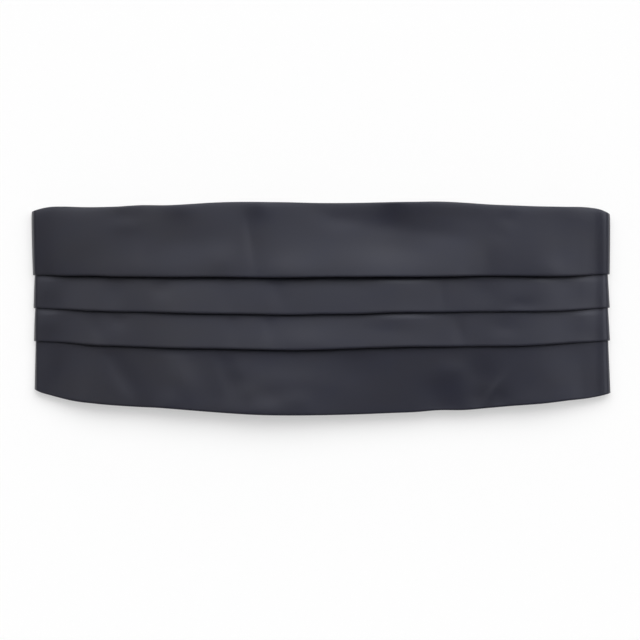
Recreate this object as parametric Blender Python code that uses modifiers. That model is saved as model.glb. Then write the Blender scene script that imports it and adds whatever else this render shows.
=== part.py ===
"""A pleated satin cummerbund, fastened behind and laid on its back.

The front is a panel of four downward pleats with turned hems, stitched to a plain backing. It lies face
up, folds over at both sides, and its tapering ends lie underneath, face down, joined by straps and a buckle.
X runs along the band, +Y is the band's top edge, +Z is up. The origin is under its middle, on the floor.

Each cloth piece is worked out flat, as sections across the band, and then laid along the band's spine.
A section's points are (height, layer): height is along Y, and layer is how far the cloth's good side
stands out from the outer face of the backing. "Along" is the distance along the cloth from its middle.
"""

import math

import bmesh
import bpy
import numpy as np

MM = 0.001

# Cloth and gaps
CLOTH = 1.0 * MM
GAP = 0.3 * MM
FOLD_GAP = 0.4 * MM

# The band, lying down
HALF_WIDTH = 174.3 * MM
FALL_START = 80.0 * MM
ROLL_RISE = 3.9 * MM
ROLL_REACH = 2.3 * MM
HALF_LENGTH = 305.0 * MM
CROWN = 2.5 * MM
CROWN_HALF_HEIGHT = 64.0 * MM
CROWN_FADE = (100.0 * MM, 162.0 * MM)
FRONT_SLACK = 2.2 * MM

# Pleats and hems
OVERLAP = 7.0 * MM
SHOULDER = 3.5 * MM
HEM = 6.0 * MM
PUFF = 0.7 * MM
BACKING_INSET = 2.0 * MM
FOLD_RADIUS = CLOTH + FOLD_GAP / 2

# Layers of a pleat, each as the height of the cloth's good side above the backing. From PRESSED_FROM
# outward the cloth is pulled tight, until its hems and pleats all lie level at the start of the roll.
UNDER_LEVEL = GAP + CLOTH
TURNED_LEVEL = UNDER_LEVEL + GAP
TOP_LEVEL = TURNED_LEVEL + 2 * FOLD_RADIUS
LOOSE_LEVEL = GAP + 2 * FOLD_RADIUS
PRESSED_FROM = 110.0 * MM

# Places that follow from the sizes above
BACK_Z = TOP_LEVEL
FRONT_Z = BACK_Z + 3 * CLOTH + 2 * GAP + FRONT_SLACK
CREST_Z = BACK_Z + ROLL_RISE
ROLL_X = HALF_WIDTH - TOP_LEVEL - ROLL_REACH
ROLL_Z = (CREST_Z + BACK_Z) / 2

# Strap and buckle
STRAP_WIDTH = 25.0 * MM
STRAP_SEWN_IN = 28.0 * MM
BACKING_EASE = 8.0 * MM
BUCKLE_X = 4.0 * MM
BUCKLE_WIDTH = 32.0 * MM
BUCKLE_SLOT = 6.4 * MM
BUCKLE_SLOT_LENGTH = 26.4 * MM
BUCKLE_BAR = 2.0 * MM
BUCKLE_THICKNESS = 1.6 * MM
BUCKLE_CORNER = 3.0 * MM
SLOT_CORNER = 0.8 * MM
BUCKLE_Z = BACK_Z - GAP - BUCKLE_THICKNESS / 2
END_BAR_X = BUCKLE_X - BUCKLE_BAR - BUCKLE_SLOT
STRAP_Z = BACK_Z + CLOTH / 2
TAIL_Z = STRAP_Z + CLOTH + GAP
LAP_Z = STRAP_Z - CLOTH - GAP
TAIL_LENGTH = 32.0 * MM
LAP_LENGTH = 20.0 * MM
LAP_RAMP = 5.0 * MM

# The angles, in degrees about the nearest corner of a bar, at which a strap round it has a point
TURNS_UNDER_MIDDLE_BAR = (-60.0, -85.0, -95.0, -120.0)
TURNS_ROUND_END_BAR = (85.0, 45.0, 5.0, -5.0, -45.0, -85.0, -95.0)

# How finely the spine is sampled, and how finely the cloth is cut up along it
FRONT_SAMPLES = 200
ROLL_SAMPLES = 72
FRONT_STEPS = 10
ROLL_STEPS = 10
BACK_STEPS = 5
END_STEPS = 2
FOLD_ANGLES = (60.0, 120.0)

# The cut of the panel in millimetres: a row for each section along the band, with the height there of
# the top edge, of the three pleats' folded edges from the top down, and of the bottom edge.
CUT_COLUMNS = ("along", "top", "fold_1", "fold_2", "fold_3", "bottom")
CUT = (
    (-305, 30.0, 12.0, 0.0, -12.0, -30.0),
    (-240, 43.8, 17.2, 0.0, -16.6, -39.8),
    (-190, 54.8, 19.8, 0.1, -19.6, -46.6),
    (-168, 60.2, 20.2, 0.0, -20.4, -50.6),
    (-145, 61.6, 19.4, -1.1, -21.8, -56.5),
    (-96, 62.9, 19.1, -2.7, -23.5, -60.2),
    (-48, 64.3, 19.1, -2.8, -24.5, -63.3),
    (0, 63.3, 19.1, -3.3, -24.8, -64.4),
    (48, 64.4, 19.1, -2.4, -23.5, -63.2),
    (96, 63.0, 19.4, -2.1, -22.8, -60.3),
    (145, 61.4, 19.6, -1.3, -21.4, -56.4),
    (168, 59.3, 20.7, 0.2, -19.9, -51.8),
    (190, 54.2, 20.2, 0.3, -19.2, -47.4),
    (240, 43.6, 17.3, 0.2, -16.7, -40.0),
    (305, 30.0, 12.0, 0.0, -12.0, -30.0),
)

# Each pleat's name, the line at its upper end and the line at its lower end
PLEATS = (
    ("pleat_top", "top", "fold_1"),
    ("pleat_second", "fold_1", "fold_2"),
    ("pleat_third", "fold_2", "fold_3"),
    ("pleat_bottom", "fold_3", "bottom"),
)

# Colours are linear RGB
MATERIALS = {
    "satin": {"colour": (0.046, 0.047, 0.058), "roughness": 0.42, "metallic": 0.0},
    "backing_cloth": {"colour": (0.022, 0.022, 0.027), "roughness": 0.6, "metallic": 0.0},
    "strap_tape": {"colour": (0.018, 0.018, 0.021), "roughness": 0.8, "metallic": 0.0},
    "buckle_metal": {"colour": (0.42, 0.42, 0.44), "roughness": 0.3, "metallic": 1.0},
}


def smooth_step(value):
    """0 below 0, 1 above 1, and a smooth rise between them."""
    clipped = np.clip(value, 0.0, 1.0)
    return clipped * clipped * (3.0 - 2.0 * clipped)


def make_spine():
    """The right half of the band seen from its edge, as the outer face of the backing: arrays of distance
    along, x, z and heading. The heading is 0 in the middle of the front and -180 degrees underneath."""
    front_x = np.linspace(0.0, ROLL_X, FRONT_SAMPLES)
    share = np.clip((front_x - FALL_START) / (ROLL_X - FALL_START), 0.0, 1.0)
    rise = CREST_Z - FRONT_Z
    front_z = FRONT_Z + rise * smooth_step(share)
    front_heading = np.arctan(rise * 6.0 * share * (1.0 - share) / (ROLL_X - FALL_START))

    turn = np.radians(np.linspace(0.0, 180.0, ROLL_SAMPLES + 1))[1:]
    roll_x = ROLL_X + ROLL_REACH * np.sin(turn)
    roll_z = ROLL_Z + (CREST_Z - ROLL_Z) * np.cos(turn)
    roll_heading = np.arctan2(-(CREST_Z - ROLL_Z) * np.sin(turn), ROLL_REACH * np.cos(turn))
    roll_heading[-1] = -math.pi

    back_x = [ROLL_X - HALF_LENGTH]
    x = np.concatenate([front_x, roll_x, back_x])
    z = np.concatenate([front_z, roll_z, [BACK_Z]])
    heading = np.concatenate([front_heading, roll_heading, [-math.pi]])
    along = np.concatenate([[0.0], np.cumsum(np.hypot(np.diff(x), np.diff(z)))])
    return along, x, z, heading


SPINE = make_spine()
ROLL_START = float(SPINE[0][FRONT_SAMPLES - 1])
ROLL_END = float(SPINE[0][FRONT_SAMPLES + ROLL_SAMPLES - 1])
END_X = ROLL_X - (HALF_LENGTH - ROLL_END)
EASE_END = HALF_LENGTH - STRAP_SEWN_IN - GAP
EASE_START = EASE_END - BACKING_EASE


def cut_line(name, along):
    """Height of one line of the cut at a distance along the band, on a smooth curve through the rows."""
    table = np.array(CUT, float) * MM
    places = table[:, 0]
    heights = table[:, CUT_COLUMNS.index(name)]
    slopes = np.gradient(heights, places)
    row = int(np.clip(np.searchsorted(places, along) - 1, 0, len(places) - 2))
    step = places[row + 1] - places[row]
    t = (along - places[row]) / step
    start = (1 + 2 * t) * (1 - t) ** 2 * heights[row] + t * (1 - t) ** 2 * step * slopes[row]
    end = t * t * (3 - 2 * t) * heights[row + 1] + t * t * (t - 1) * step * slopes[row + 1]
    return float(start + end)


def on_band(along, height, layer):
    """The point at a distance along the band, a height on it and a layer above its backing."""
    distance, spine_x, spine_z, spine_heading = SPINE
    x = np.interp(abs(along), distance, spine_x)
    z = np.interp(abs(along), distance, spine_z)
    heading = np.interp(abs(along), distance, spine_heading)
    fade = 1.0 - smooth_step((abs(along) - CROWN_FADE[0]) / (CROWN_FADE[1] - CROWN_FADE[0]))
    out = layer - CROWN * fade * (height / CROWN_HALF_HEIGHT) ** 2
    x -= out * math.sin(heading)
    z += out * math.cos(heading)
    return (math.copysign(x, along), height, z)


def stations():
    """The places along the band, from its left end to its right end, at which sections are made."""
    front = np.linspace(0.0, ROLL_START, FRONT_STEPS + 1)
    roll = np.linspace(ROLL_START, ROLL_END, ROLL_STEPS + 1)[1:]
    back = np.linspace(ROLL_END, EASE_START, BACK_STEPS + 1)[1:]
    end = np.linspace(EASE_END, HALF_LENGTH, END_STEPS + 1)
    right = np.concatenate([front, roll, back, end])
    return np.concatenate([-right[:0:-1], right])


def turned_edge(edge, inward, first_level, last_level):
    """Section points round a folded edge at height edge, from one level to the other.
    Inward is -1 where the cloth lies below the edge, and 1 where it lies above it."""
    centre = edge + inward * FOLD_RADIUS
    middle = (first_level + last_level) / 2
    reach = (first_level - last_level) / 2
    points = [(centre, first_level)]
    for angle in FOLD_ANGLES:
        turn = math.radians(angle)
        points.append((centre - inward * FOLD_RADIUS * math.sin(turn), middle + reach * math.cos(turn)))
    points.append((centre, last_level))
    return points


def pleat_section(along, upper_line, lower_line):
    """Section of one pleat, from its upper end down its good side and round its lower edge."""
    upper = cut_line(upper_line, along)
    lower = cut_line(lower_line, along)
    middle = (upper + lower) / 2
    pressed = float(smooth_step((abs(along) - PRESSED_FROM) / (ROLL_START - PRESSED_FROM)))
    level = LOOSE_LEVEL + (TOP_LEVEL - LOOSE_LEVEL) * pressed
    hem_level = level - 2 * FOLD_RADIUS
    puff = PUFF * (1.0 - pressed)
    if upper_line == "top":
        points = [(upper - HEM, hem_level)]
        points += turned_edge(upper, -1, hem_level, level)
        points.append((middle, (level + TOP_LEVEL) / 2 + puff))
    else:
        points = [(upper + OVERLAP, UNDER_LEVEL), (upper, UNDER_LEVEL), (upper - SHOULDER, level)]
    if lower_line == "bottom":
        points.append((middle, level + puff))
        points += turned_edge(lower, 1, level, hem_level)
        points.append((lower + HEM, hem_level))
    else:
        points.append((lower + OVERLAP + GAP, TOP_LEVEL))
        points += turned_edge(lower, 1, TOP_LEVEL, TURNED_LEVEL)
        points.append((lower + OVERLAP, TURNED_LEVEL))
    return points


def backing_section(along):
    """Section of the backing, set in from both edges and eased inward over the end of the strap."""
    ease = float(smooth_step((abs(along) - EASE_START) / (EASE_END - EASE_START)))
    near = STRAP_WIDTH / 2 + 2 * GAP
    far = near + 2 * CLOTH
    over_strap = -(CLOTH + GAP) * ease
    return [
        (cut_line("top", along) - BACKING_INSET, 0.0),
        (far, 0.0),
        (near, over_strap),
        (-near, over_strap),
        (-far, 0.0),
        (cut_line("bottom", along) + BACKING_INSET, 0.0),
    ]


def sheet_object(name, rows, material, thickness_side):
    """An open surface through rows of points, made solid to the cloth's thickness.
    Thickness_side is -1 where the rows lie on the cloth's good side, and 0 where they lie in its middle."""
    columns = len(rows[0])
    mesh = bpy.data.meshes.new(name)
    grid = bmesh.new()
    bmesh.ops.create_grid(grid, x_segments=columns - 1, y_segments=len(rows) - 1, size=1.0)
    grid.verts.ensure_lookup_table()
    for index, vertex in enumerate(grid.verts):
        vertex.co = rows[index // columns][index % columns]
    grid.to_mesh(mesh)
    grid.free()
    mesh.shade_smooth()
    sheet = bpy.data.objects.new(name, mesh)
    sheet.data.materials.append(material)
    garment.objects.link(sheet)
    solid = sheet.modifiers.new("cloth", "SOLIDIFY")
    solid.thickness = CLOTH
    solid.offset = thickness_side
    solid.use_even_offset = True


def make_panel_piece(name, material, section, *lines):
    """One of the panel's cloth pieces, from the function that gives its section and that function's lines."""
    rows = []
    for place in stations():
        rows.append([on_band(place, height, layer) for height, layer in section(place, *lines)])
    sheet_object(name, rows, material, -1.0)


def make_strap(name, material, path):
    """A flat tape as wide as the strap that follows a path of (x, z) points."""
    rows = []
    for side in (-STRAP_WIDTH / 2, STRAP_WIDTH / 2):
        rows.append([(x, side, z) for x, z in path])
    sheet_object(name, rows, material, 0.0)


def round_bar(bar_x, turns):
    """Points of a strap's middle where it hugs one of the buckle's bars, one for each angle."""
    points = []
    for turn in turns:
        across = math.cos(math.radians(turn))
        up = math.sin(math.radians(turn))
        corner_x = bar_x + math.copysign(BUCKLE_BAR / 2, across)
        corner_z = BUCKLE_Z + math.copysign(BUCKLE_THICKNESS / 2, up)
        reach = GAP + CLOTH / 2
        points.append((corner_x + reach * across, corner_z + reach * up))
    return points


def long_strap_path():
    """From inside the panel's right end, through the buckle under its middle bar, and up to a free tail."""
    in_slot = BUCKLE_BAR / 2 + BUCKLE_SLOT - CLOTH
    path = [(END_X + STRAP_SEWN_IN, STRAP_Z), (END_X - GAP, STRAP_Z), (BUCKLE_X + in_slot, STRAP_Z)]
    path += round_bar(BUCKLE_X, TURNS_UNDER_MIDDLE_BAR)
    path += [(BUCKLE_X - in_slot, TAIL_Z), (BUCKLE_X - in_slot - TAIL_LENGTH, TAIL_Z)]
    return path


def short_strap_path():
    """From inside the panel's left end, round the buckle's end bar and back to lie under itself."""
    path = [(-END_X - STRAP_SEWN_IN, STRAP_Z), (-END_X + GAP, STRAP_Z)]
    path += round_bar(END_BAR_X, TURNS_ROUND_END_BAR)
    lap_x = END_BAR_X - BUCKLE_BAR / 2 - LAP_RAMP
    path += [(lap_x, LAP_Z), (lap_x - LAP_LENGTH, LAP_Z)]
    return path


def rounded_rectangle(curve, centre_x, length, width, corner):
    """Adds a closed outline with round corners to a 2D curve: length along X and width along Y."""
    corners = ((1, 1, 0.0), (-1, 1, 90.0), (-1, -1, 180.0), (1, -1, 270.0))
    points = []
    for side_x, side_y, start in corners:
        for turn in (0.0, 30.0, 60.0, 90.0):
            angle = math.radians(start + turn)
            x = centre_x + side_x * (length / 2 - corner) + corner * math.cos(angle)
            y = side_y * (width / 2 - corner) + corner * math.sin(angle)
            points.append((x, y))
    outline = curve.splines.new("POLY")
    outline.points.add(len(points) - 1)
    for point, (x, y) in zip(outline.points, points):
        point.co = (x, y, 0.0, 1.0)
    outline.use_cyclic_u = True


def make_buckle(material):
    """A flat frame of three bars, with a slot on each side of the middle one."""
    curve = bpy.data.curves.new("buckle", "CURVE")
    curve.dimensions = "2D"
    curve.fill_mode = "BOTH"
    curve.extrude = BUCKLE_THICKNESS / 2
    length = 3 * BUCKLE_BAR + 2 * BUCKLE_SLOT
    slot_place = (BUCKLE_BAR + BUCKLE_SLOT) / 2
    rounded_rectangle(curve, 0.0, length, BUCKLE_WIDTH, BUCKLE_CORNER)
    rounded_rectangle(curve, -slot_place, BUCKLE_SLOT, BUCKLE_SLOT_LENGTH, SLOT_CORNER)
    rounded_rectangle(curve, slot_place, BUCKLE_SLOT, BUCKLE_SLOT_LENGTH, SLOT_CORNER)
    buckle = bpy.data.objects.new("buckle", curve)
    buckle.location = (BUCKLE_X, 0.0, BUCKLE_Z)
    buckle.data.materials.append(material)
    garment.objects.link(buckle)


def make_material(name):
    """A Principled material with one entry's colour, roughness and metallic value."""
    finish = MATERIALS[name]
    material = bpy.data.materials.new(name)
    material.use_nodes = True
    shader = material.node_tree.nodes["Principled BSDF"]
    shader.inputs["Base Color"].default_value = (*finish["colour"], 1.0)
    shader.inputs["Roughness"].default_value = finish["roughness"]
    shader.inputs["Metallic"].default_value = finish["metallic"]
    return material


for old_object in list(bpy.data.objects):
    bpy.data.objects.remove(old_object)
garment = bpy.data.collections.new("cummerbund")
bpy.context.scene.collection.children.link(garment)
finishes = {name: make_material(name) for name in MATERIALS}

for pleat_name, upper_name, lower_name in PLEATS:
    make_panel_piece(pleat_name, finishes["satin"], pleat_section, upper_name, lower_name)
make_panel_piece("backing", finishes["backing_cloth"], backing_section)
make_strap("strap_long", finishes["strap_tape"], long_strap_path())
make_strap("strap_short", finishes["strap_tape"], short_strap_path())
make_buckle(finishes["buckle_metal"])
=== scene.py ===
"""Looks of a pleated satin cummerbund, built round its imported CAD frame.

The band lies face up on a white surface, fastened behind. Its front shows four pleats that open downward, it
folds over at both sides, and its tapering ends lie underneath, face down, joined by straps and a buckle.
X runs along the band, +Y is the band's top edge, +Z is up.

Each cloth piece is worked out flat, as sections across the band, and then laid along the band's spine.
A section's points are (height, layer): height is along Y, and layer is how far the cloth's good side
stands out from the outer face of the backing. "Along" is the distance along the cloth from its middle.
"""

import math

import bmesh
import bpy
import numpy as np
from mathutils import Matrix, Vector


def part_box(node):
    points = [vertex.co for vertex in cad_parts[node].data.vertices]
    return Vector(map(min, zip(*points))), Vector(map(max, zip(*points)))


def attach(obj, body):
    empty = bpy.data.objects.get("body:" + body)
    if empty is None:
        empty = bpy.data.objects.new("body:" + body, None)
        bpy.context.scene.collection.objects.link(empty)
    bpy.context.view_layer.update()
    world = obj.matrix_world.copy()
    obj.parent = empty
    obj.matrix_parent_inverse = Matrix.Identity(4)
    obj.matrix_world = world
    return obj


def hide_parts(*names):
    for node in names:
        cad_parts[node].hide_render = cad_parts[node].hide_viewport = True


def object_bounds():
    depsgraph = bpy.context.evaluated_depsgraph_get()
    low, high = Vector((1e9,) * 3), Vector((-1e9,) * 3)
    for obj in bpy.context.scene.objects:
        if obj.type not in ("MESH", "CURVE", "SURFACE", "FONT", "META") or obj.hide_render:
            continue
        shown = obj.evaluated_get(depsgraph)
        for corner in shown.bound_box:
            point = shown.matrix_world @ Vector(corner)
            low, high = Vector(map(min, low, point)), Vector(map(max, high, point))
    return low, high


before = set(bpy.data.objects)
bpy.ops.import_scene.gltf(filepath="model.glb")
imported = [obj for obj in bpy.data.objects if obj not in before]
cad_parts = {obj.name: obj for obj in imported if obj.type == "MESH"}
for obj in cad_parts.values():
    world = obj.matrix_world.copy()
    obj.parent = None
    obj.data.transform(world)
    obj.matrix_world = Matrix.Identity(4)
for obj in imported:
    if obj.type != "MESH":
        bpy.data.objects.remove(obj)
cad_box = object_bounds()

MM = 0.001
LEFT, RIGHT = -1, 1

# Cloth: how thick it is, the layer of what lies under a folded edge, how much higher than that the cloth
# turned back from the edge lies, and how round the edge is
CLOTH = 0.35 * MM
BACKING_CLOTH = 0.4 * MM
UNDER_LEVEL = 1.3 * MM
SLIP = 0.2 * MM
FOLD_RADIUS = 0.75 * MM

# The band, lying down. It is as wide as the CAD solids, and its panel ends where the CAD strap is sewn in.
# The cut keeps its scale along the front, and eases it beyond, so that it comes out at the ends.
HALF_WIDTH = cad_box[1].x
STRAP_SEWN_IN = 28.0 * MM
PANEL_END_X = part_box("strap_long")[1].x - STRAP_SEWN_IN
CUT_HALF_LENGTH = 305.0 * MM
CUT_KEPT_TO = 150.0 * MM
BACK_Z = 4.0 * MM
LYING_CLEAR = 0.05 * MM

# Each half of the band seen from its edge, as the outer face of the backing: the (x, z) corners that its
# curve eases round, in millimetres, from the middle of the front to the underside. From there it rises to
# the level of the back, which it reaches at a share of its last corner's x. It is highest in the middle of
# the front, and lowest where the cloth is pressed thin.
PROFILES = {
    LEFT: ((0, 7.4), (50, 7.4), (85, 7.4), (112, 7.2), (134, 6.7), (149, 6.0), (160, 5.1), (168, 4.2),
           (172.5, 3.6), (173.4, 2.7), (171.5, 1.75), (164, 1.75), (144, 1.75), (128, 1.9), (110, 3.9)),
    RIGHT: ((0, 7.4), (50, 7.4), (85, 7.4), (112, 7.3), (136, 6.95), (150, 6.4), (158, 5.9), (164, 5.3),
            (167.5, 4.94), (171.2, 4.9), (173.2, 4.5), (174.0, 3.1), (172, 1.75), (165, 1.75), (144, 1.75),
            (128, 1.9), (110, 3.9)),
}
LEVEL_AT_SHARE = 0.8
EASING_ROUNDS = 4
EASING_SHARE = 0.25

# The fold at each side: where the band is drawn out to it from, where it starts, the room for the cloth
# outside the backing, how far the fold passes the CAD width, how much further out it is at the top edge
# than in the middle, and where that begins
DRAWN_OUT_FROM = 140.0 * MM
FOLD_START = 158.0 * MM
ROLL_LEVEL = 1.65 * MM
NOSE_PAST = {LEFT: 0.12 * MM, RIGHT: 1.5 * MM}
NOSE_LEAN = {LEFT: 0.85 * MM, RIGHT: -0.4 * MM}
LEAN_FROM = 110.0 * MM

# Where the layers start and end coming closer together toward each fold, and coming apart again behind it,
# and by how much
PRESSED_BETWEEN = (125.0 * MM, 160.0 * MM, 212.0 * MM, 238.0 * MM)
PRESSED_BY = 0.65 * MM

# How far the front falls away from its middle to its top and its bottom edge, and where that fades out
CROWN_HALF_HEIGHT = 64.0 * MM
CROWN_ABOVE = 2.6 * MM
CROWN_BELOW = 0.9 * MM
CROWN_FADE = (115.0 * MM, 168.0 * MM)

# Pleats and hems: what is turned back or tucked under, at most a share of the height that shows
OVERLAP = 7.0 * MM
OVERLAP_SHARE = 0.4
HEM = 6.0 * MM
BACKING_INSET = 2.0 * MM

# The faces of the pleats: each starts level, over a share of its height, and its soft forms grow over
# another. The top one rounds up over its hem and is then hollow. The seams across the panel's ends press
# the folded edges to a share of their stand.
FACE_HOLLOW = 0.09
FORM_RAMP = 0.2
HEM_SOFTNESS = 0.22 * MM
HEM_SHARE = 0.05
TOP_HOLLOW = 1.5
SEAM_PRESS = 7.0 * MM
SEAM_SHARE = 0.6

# The cut of the panel in millimetres: a row for each section along the band, with the height there of
# the top edge, of the three pleats' folded edges from the top down, and of the bottom edge.
CUT_COLUMNS = ("along", "top", "fold_1", "fold_2", "fold_3", "bottom")
CUT = (
    (-305, 30.0, 12.0, 0.0, -12.0, -30.0),
    (-240, 43.8, 17.2, 0.0, -16.6, -39.8),
    (-190, 54.8, 19.8, 0.1, -19.6, -46.6),
    (-168, 60.2, 20.2, 0.0, -20.4, -50.6),
    (-145, 61.6, 19.4, -1.1, -21.8, -56.5),
    (-96, 62.9, 19.1, -2.7, -23.5, -60.2),
    (-48, 64.3, 19.1, -2.8, -24.5, -63.3),
    (0, 63.3, 19.1, -3.3, -24.8, -64.4),
    (48, 64.4, 19.1, -2.4, -23.5, -63.2),
    (96, 63.0, 19.4, -2.1, -22.8, -60.3),
    (145, 61.4, 19.6, -1.3, -21.4, -56.4),
    (168, 59.3, 20.7, 0.2, -19.9, -51.8),
    (190, 54.2, 20.2, 0.3, -19.2, -47.4),
    (240, 43.6, 17.3, 0.2, -16.7, -40.0),
    (305, 30.0, 12.0, 0.0, -12.0, -30.0),
)

# How far each line wavers from its cut on the front, in millimetres, in the same columns.
WAVER = (
    (-305, 0.0, 0.0, 0.0, 0.0, 0.0),
    (-190, 0.4, -0.3, -0.2, 0.0, -0.6),
    (-182, -0.3, -0.3, -0.2, 0.0, 0.6),
    (-176, -0.9, -0.3, -0.2, 0.0, 0.9),
    (-170, 0.0, -0.3, -0.2, 0.0, -1.0),
    (-163, 0.5, -0.3, -0.3, 0.1, -1.4),
    (-155, 0.3, -0.3, -0.3, 0.2, -1.3),
    (-139, -0.7, 0.2, -0.5, -0.5, -0.2),
    (-124, -0.8, -0.2, -0.4, -0.4, -0.1),
    (-109, -0.2, -0.3, -0.1, -0.5, -0.4),
    (-94, -0.6, -0.5, -0.2, -0.7, -0.4),
    (-64, 0.0, -0.4, -0.8, -0.5, -0.7),
    (-34, 0.2, -0.8, -1.1, -0.7, -1.0),
    (-18, 0.5, -0.8, -1.1, -0.8, -0.8),
    (0, 0.4, -0.5, -0.6, -0.5, -0.5),
    (27, -0.1, -0.4, -0.7, -0.2, -0.3),
    (42, -0.2, -0.3, -0.4, -0.3, -0.2),
    (57, 0.1, -0.4, -0.4, -0.2, -0.3),
    (72, 0.7, -0.4, -0.5, -0.4, 0.0),
    (87, 0.6, -0.2, -0.3, -0.4, -0.9),
    (103, 0.0, 0.0, -0.3, -0.6, -0.6),
    (118, -0.3, 0.0, -0.3, -0.8, -0.1),
    (133, -0.4, -0.2, -0.5, -0.6, -0.1),
    (148, 0.2, -0.6, -0.7, -0.3, -0.4),
    (163, 0.9, -0.7, -0.6, -0.4, -1.6),
    (170, 0.6, -0.4, -0.3, -0.3, -1.6),
    (176, -1.3, -0.3, -0.2, 0.0, -0.8),
    (182, 0.2, -0.3, -0.2, 0.0, -0.4),
    (190, 0.4, -0.3, -0.2, 0.0, -0.6),
    (305, 0.0, 0.0, 0.0, 0.0, 0.0),
)

# How far each folded edge stands above the cloth it hangs over, in millimetres: (along, stand) pairs.
# The folds are slack on the front, pressed where the band folds over, and alike where they lie under it.
FOLD_LEFT_END = ((-305, 2.4), (-236, 2.4), (-212, 1.0), (-168, 1.0))
FOLD_RIGHT_END = ((168, 1.0), (212, 1.0), (236, 2.4), (305, 2.4))
HEM_LEFT_END = ((-305, 2.2), (-236, 2.4), (-212, 1.1))
HEM_RIGHT_END = ((212, 1.1), (236, 2.4), (305, 2.2))
FOLD_STANDS = {
    "top": (
        *HEM_LEFT_END, (-160, 1.4), (-140, 1.3), (0, 1.2), (140, 1.2), (160, 1.4), *HEM_RIGHT_END,
    ),
    "fold_1": (
        *FOLD_LEFT_END, (-158, 2.2), (-146, 2.9), (-120, 3.2), (-104, 3.2), (-79, 3.6), (-53, 3.4),
        (-37, 2.9), (-20, 3.3), (6, 3.0), (31, 3.2), (50, 3.0), (82, 3.3), (92, 3.0), (104, 2.6),
        (116, 2.8), (133, 3.0), (150, 2.9), (158, 2.2), *FOLD_RIGHT_END,
    ),
    "fold_2": (
        *FOLD_LEFT_END, (-158, 1.25), (-146, 2.0), (-133, 2.1), (-118, 1.8), (-100, 2.2), (-85, 2.6),
        (-61, 2.5), (-45, 2.4), (-29, 2.3), (-12, 2.4), (12, 2.5), (36, 2.6), (48, 2.7), (72, 2.1),
        (103, 1.7), (120, 1.9), (133, 1.95), (150, 1.9), (158, 1.6), *FOLD_RIGHT_END,
    ),
    "fold_3": (
        *FOLD_LEFT_END, (-158, 1.2), (-133, 2.1), (-109, 2.1), (-85, 2.6), (-61, 2.6), (-44, 2.8),
        (-30, 2.8), (-12, 2.8), (12, 2.8), (36, 2.7), (48, 2.8), (72, 2.4), (96, 2.0), (120, 2.1),
        (133, 2.0), (145, 1.8), (158, 1.5), *FOLD_RIGHT_END,
    ),
    "bottom": (
        *HEM_LEFT_END, (-160, 1.2), (-140, 3.0), (-109, 2.9), (-85, 3.9), (-61, 3.3), (-36, 3.9),
        (-12, 4.0), (12, 3.2), (48, 2.4), (84, 2.1), (97, 2.0), (133, 2.5), (150, 2.0), (160, 1.3),
        *HEM_RIGHT_END,
    ),
}

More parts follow.
